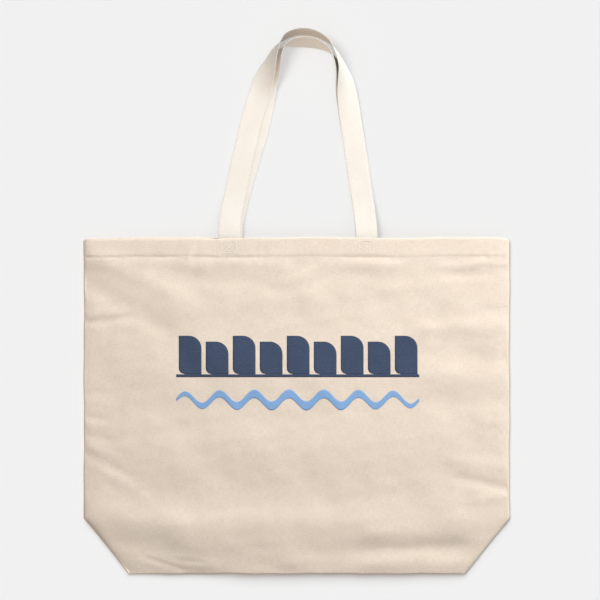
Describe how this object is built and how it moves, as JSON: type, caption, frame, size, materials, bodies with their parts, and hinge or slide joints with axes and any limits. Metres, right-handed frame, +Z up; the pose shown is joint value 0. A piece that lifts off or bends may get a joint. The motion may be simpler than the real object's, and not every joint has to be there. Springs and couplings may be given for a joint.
{
  "type": "canvas tote bag",
  "caption": "Flat-laid cotton canvas tote bag with boxed base corners, hemmed mouth, sewn-on webbing handles and a printed leaf garland.",
  "frame": {"origin": "centre of the bottom of the bounding box, on the table under the flat-laid bag", "axes": "+Z up off the table, +Y from the base crease to the handles, +X to the right when facing the printed side"},
  "size_m": [0.508, 0.6542, 0.0264],
  "materials": {
    "canvas": "matte plain-weave cotton with small natural flecks",
    "webbing": "matte twill-ribbed cotton webbing",
    "thread": "matte sewing thread",
    "ink_dark": "matte screen-printed ink, dark blue",
    "ink_light": "matte screen-printed ink, light blue"
  },
  "bodies": {
    "bag": {"front_panel": "canvas", "back_panel": "canvas", "base_gusset": "canvas", "corner_fold_left": "canvas", "corner_fold_right": "canvas", "corner_seam_left": "canvas", "corner_seam_right": "canvas", "side_seam_left": "canvas", "side_seam_right": "canvas", "front_hem": "canvas", "back_hem": "canvas", "front_handle_end_left": "webbing", "front_handle_end_right": "webbing", "back_handle_end_left": "webbing", "back_handle_end_right": "webbing", "front_tack_left": "thread", "front_tack_right": "thread", "back_tack_left": "thread", "back_tack_right": "thread", "front_hem_stitch": "thread", "back_hem_stitch": "thread", "print_upper": "ink_dark", "print_lower": "ink_light"},
    "front_handle": {"front_handle": "webbing"},
    "back_handle": {"back_handle": "webbing"}
  },
  "joints": [
    {"name": "front_handle_swing", "type": "hinge", "parent": "bag", "child": "front_handle", "pos_m": [0, 0.08217, 0.0118], "axis": [1, 0, 0], "range_deg": [0, 160]},
    {"name": "back_handle_swing", "type": "hinge", "parent": "bag", "child": "back_handle", "pos_m": [0, 0.08217, 0.0032], "axis": [1, 0, 0], "range_deg": [-145, 0]}
  ]
}
